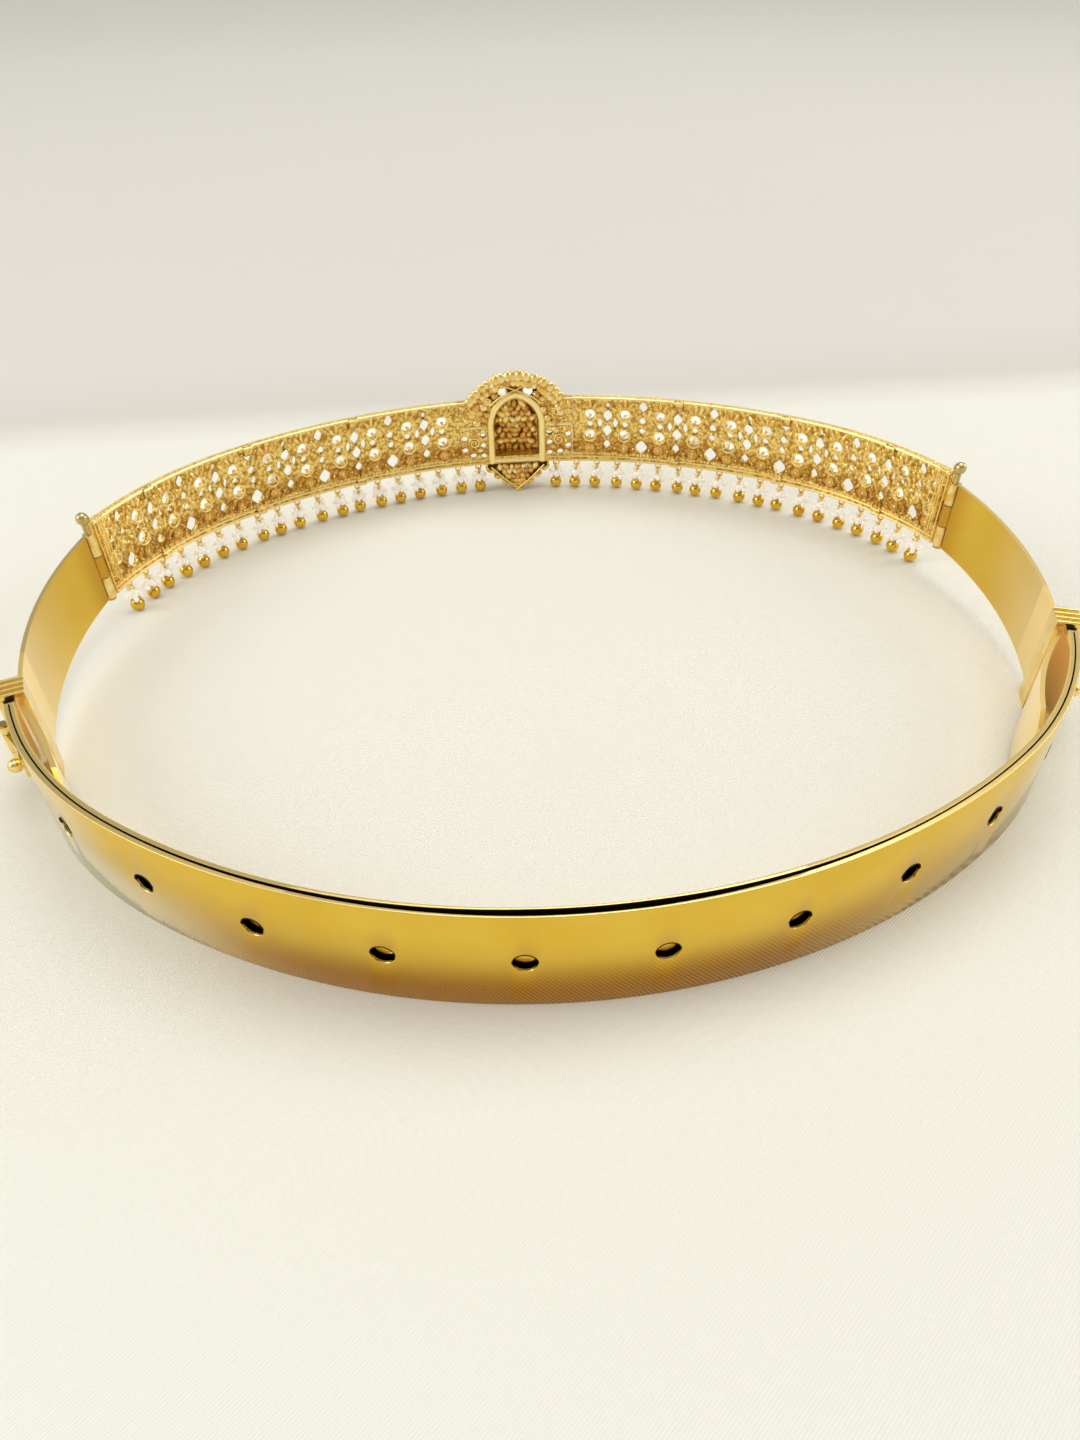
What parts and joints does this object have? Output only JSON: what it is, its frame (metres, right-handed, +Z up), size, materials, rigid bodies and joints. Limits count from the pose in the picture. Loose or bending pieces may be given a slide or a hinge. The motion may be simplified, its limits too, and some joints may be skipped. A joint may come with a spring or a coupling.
{
  "type": "oddiyanam waist belt",
  "caption": "Gold waist belt in its worn loop: pierced front panel with stones, medallion and pearl drops, plain straps, hinges and two lever clasps.",
  "frame": {"origin": "middle of the belt's box, on the surface that it stands on", "axes": "+Z up; +Y to the front of the wearer, where the medallion is; +X to the wearer's right"},
  "size_m": [0.2414, 0.206, 0.038],
  "materials": {
    "polished_gold": "polished",
    "cast_gold": "cast, polished on its ridges",
    "dark_relief_gold": "cast, dark in its hollows",
    "pin_gold": "satin",
    "clear_stone": "cut and clear",
    "pearl": "lustrous"
  },
  "bodies": {
    "belt": {"back_strap": "polished_gold", "side_strap_left": "polished_gold", "side_strap_right": "polished_gold", "keeper_left": "polished_gold", "keeper_right": "polished_gold", "lever_pin_left": "pin_gold", "lever_pin_right": "pin_gold", "hinge_pin_left": "pin_gold", "hinge_pin_right": "pin_gold", "medallion": "cast_gold", "medallion_relief": "dark_relief_gold", "medallion_stones": "clear_stone", "panel_left_1": "cast_gold", "panel_left_2": "cast_gold", "panel_left_3": "cast_gold", "panel_left_4": "cast_gold", "panel_right_1": "cast_gold", "panel_right_2": "cast_gold", "panel_right_3": "cast_gold", "panel_right_4": "cast_gold", "panel_stones_left": "clear_stone", "panel_stones_right": "clear_stone", "drops_left": "polished_gold", "drops_right": "polished_gold", "pearls_left": "pearl", "pearls_right": "pearl"},
    "lever_left": {"lever_left": "polished_gold"},
    "lever_right": {"lever_right": "polished_gold"}
  },
  "joints": [
    {"name": "lever_right_swing", "type": "hinge", "parent": "belt", "child": "lever_right", "pos_m": [0.11965, -0.03413, 0.0125], "axis": [0, 0, 1], "range_deg": [0, 100]},
    {"name": "lever_left_swing", "type": "hinge", "parent": "belt", "child": "lever_left", "pos_m": [-0.11965, -0.03413, 0.0125], "axis": [0, 0, -1], "range_deg": [0, 100]}
  ]
}
